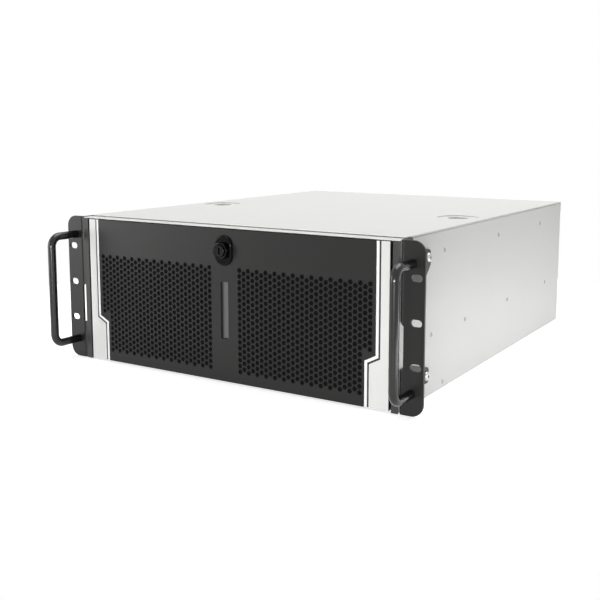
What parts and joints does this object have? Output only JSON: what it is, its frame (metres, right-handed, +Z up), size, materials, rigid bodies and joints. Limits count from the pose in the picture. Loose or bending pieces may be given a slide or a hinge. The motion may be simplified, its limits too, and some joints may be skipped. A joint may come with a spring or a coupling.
{
  "type": "rack server chassis",
  "caption": "Rack-mount server with a drop-down perforated front door, key lock, bar handles, a sliding top cover, graphics cards and cooling fans.",
  "frame": {"origin": "on the floor, under the middle of the whole box, handles and thumbscrews included", "axes": "+X to the right seen from the front, +Y to the back, +Z up"},
  "size_m": [0.4826, 0.5846, 0.177],
  "materials": {
    "light_grey_steel": "satin powder coat, light warm grey",
    "black_steel": "fine-textured black powder coat",
    "black_gloss": "gloss black enamel",
    "black_plastic": "moulded matt black plastic",
    "silver_trim": "satin silver paint",
    "white_stripe": "plain white plastic",
    "filter_foam": "open-cell black foam",
    "badge_grey": "bare grey plastic",
    "zinc_screw": "zinc-plated steel",
    "lock_black": "gloss black",
    "lock_steel": "plated steel",
    "zinc_sheet": "bright zinc-coated sheet",
    "fan_plastic": "black fan plastic",
    "board_green": "green solder mask",
    "socket_plastic": "dark socket plastic",
    "module_green": "green circuit board",
    "bare_aluminium": "bare extruded aluminium",
    "port_steel": "nickel-plated shell",
    "card_black": "black circuit board",
    "shroud_grey": "dark grey paint",
    "drive_aluminium": "cast aluminium, satin",
    "button_plastic": "black button plastic",
    "light_pipe": "clear light pipe"
  },
  "bodies": {
    "chassis": {"base_tray": "light_grey_steel", "side_rivets": "zinc_screw", "front_panel": "zinc_sheet", "top_rail": "light_grey_steel", "rear_panel": "zinc_sheet", "slot_frame": "zinc_sheet", "chassis_screws": "zinc_screw", "hinge_pins": "zinc_screw", "ear_left": "black_steel", "ear_right": "black_steel", "handle_left": "black_gloss", "handle_right": "black_gloss", "door_post_left": "black_plastic", "door_post_right": "black_plastic", "fan_wall": "zinc_sheet", "fan_guards": "zinc_screw", "fan_frame_left": "fan_plastic", "fan_frame_middle": "fan_plastic", "fan_frame_right": "fan_plastic", "rear_fan_left_frame": "fan_plastic", "rear_fan_right_frame": "fan_plastic", "psu_fan_frame": "fan_plastic", "psu_case": "zinc_sheet", "psu_inlet": "black_plastic", "motherboard": "board_green", "board_standoffs": "zinc_screw", "board_sockets": "socket_plastic", "memory_modules": "module_green", "cpu_heatsink": "bare_aluminium", "io_ports": "port_steel", "io_shield": "port_steel", "gpu_boards": "card_black", "gpu_shrouds": "shroud_grey", "slot_cover": "port_steel", "drive_cages": "zinc_sheet", "hard_drives": "drive_aluminium", "front_io_board": "board_green", "status_lights": "light_pipe", "usb_ports": "port_steel"},
    "front_door": {"door_skin": "black_steel", "door_frame": "black_plastic", "accent_stripes": "white_stripe", "dust_filters": "filter_foam", "side_trim_left": "silver_trim", "side_trim_right": "silver_trim", "badge_plate": "badge_grey", "lock_barrel": "lock_black"},
    "lock": {"lock_plug": "lock_steel", "lock_cam": "lock_steel"},
    "top_cover": {"top_cover": "light_grey_steel", "cover_screws": "zinc_screw"},
    "fan_left": {"fan_rotor_left": "fan_plastic"},
    "fan_middle": {"fan_rotor_middle": "fan_plastic"},
    "fan_right": {"fan_rotor_right": "fan_plastic"},
    "rear_fan_left": {"rear_fan_left_rotor": "fan_plastic"},
    "rear_fan_right": {"rear_fan_right_rotor": "fan_plastic"},
    "psu_fan": {"psu_fan_rotor": "fan_plastic"},
    "power_button": {"power_button": "button_plastic"},
    "reset_button": {"reset_button": "button_plastic"}
  },
  "joints": [
    {"name": "door_hinge", "type": "hinge", "parent": "chassis", "child": "front_door", "pos_m": [0, -0.24575, 0.007], "axis": [1, 0, 0], "range_deg": [0, 85]},
    {"name": "lock_turn", "type": "hinge", "parent": "front_door", "child": "lock", "pos_m": [0, -0.24975, 0.15], "axis": [0, -1, 0], "range_deg": [0, 90]},
    {"name": "cover_slide", "type": "slide", "parent": "chassis", "child": "top_cover", "axis": [0, 1, 0], "range_m": [0, 0.02]},
    {"name": "fan_left_spin", "type": "hinge", "parent": "chassis", "child": "fan_left", "pos_m": [-0.128, -0.04255, 0.082], "axis": [0, 1, 0], "continuous": true},
    {"name": "fan_middle_spin", "type": "hinge", "parent": "chassis", "child": "fan_middle", "pos_m": [0, -0.04255, 0.082], "axis": [0, 1, 0], "continuous": true},
    {"name": "fan_right_spin", "type": "hinge", "parent": "chassis", "child": "fan_right", "pos_m": [0.128, -0.04255, 0.082], "axis": [0, 1, 0], "continuous": true},
    {"name": "rear_fan_left_spin", "type": "hinge", "parent": "chassis", "child": "rear_fan_left", "pos_m": [0.0023, 0.25755, 0.0957], "axis": [0, 1, 0], "continuous": true},
    {"name": "rear_fan_right_spin", "type": "hinge", "parent": "chassis", "child": "rear_fan_right", "pos_m": [0.0826, 0.25755, 0.0957], "axis": [0, 1, 0], "continuous": true},
    {"name": "psu_fan_spin", "type": "hinge", "parent": "chassis", "child": "psu_fan", "pos_m": [0.1678, 0.25655, 0.1062], "axis": [0, 1, 0], "continuous": true},
    {"name": "power_button_press", "type": "slide", "parent": "chassis", "child": "power_button", "axis": [0, 1, 0], "range_m": [0, 0.0012], "stiffness_N_per_m": 800},
    {"name": "reset_button_press", "type": "slide", "parent": "chassis", "child": "reset_button", "axis": [0, 1, 0], "range_m": [0, 0.0012], "stiffness_N_per_m": 800}
  ]
}
